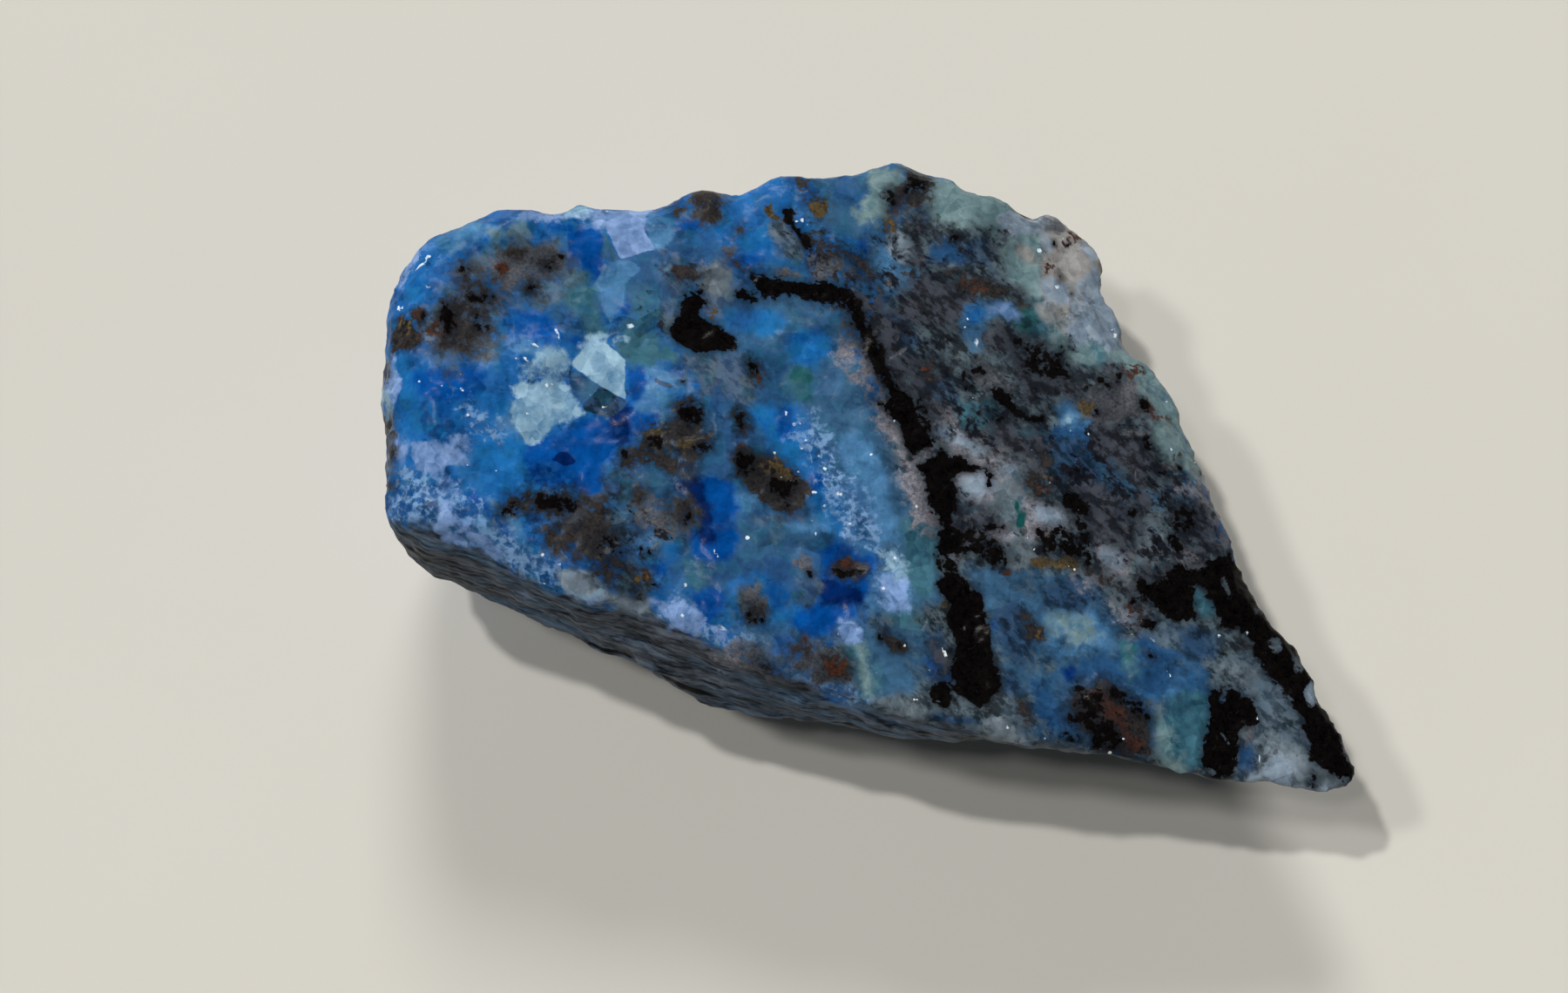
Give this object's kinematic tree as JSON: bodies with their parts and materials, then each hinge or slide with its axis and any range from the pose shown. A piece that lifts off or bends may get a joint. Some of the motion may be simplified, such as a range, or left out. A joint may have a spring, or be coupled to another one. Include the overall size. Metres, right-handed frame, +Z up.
{
  "type": "raw azurite stone",
  "caption": "Broken piece of raw blue azurite in quartz, blunt at one end and pointed at the other, resting on a flat sole.",
  "frame": {"origin": "middle of the stone's box, on the surface that it rests on", "axes": "+X along the stone towards its point, +Y across it towards the long back edge, +Z up out of the flat, coloured upper face"},
  "size_m": [0.0754, 0.0512, 0.0252],
  "materials": {
    "azurite_in_quartz": "broken crystalline stone, satin to glassy, with small bright crystal glints"
  },
  "bodies": {
    "root": {"azurite_stone": "azurite_in_quartz"}
  },
  "joints": []
}
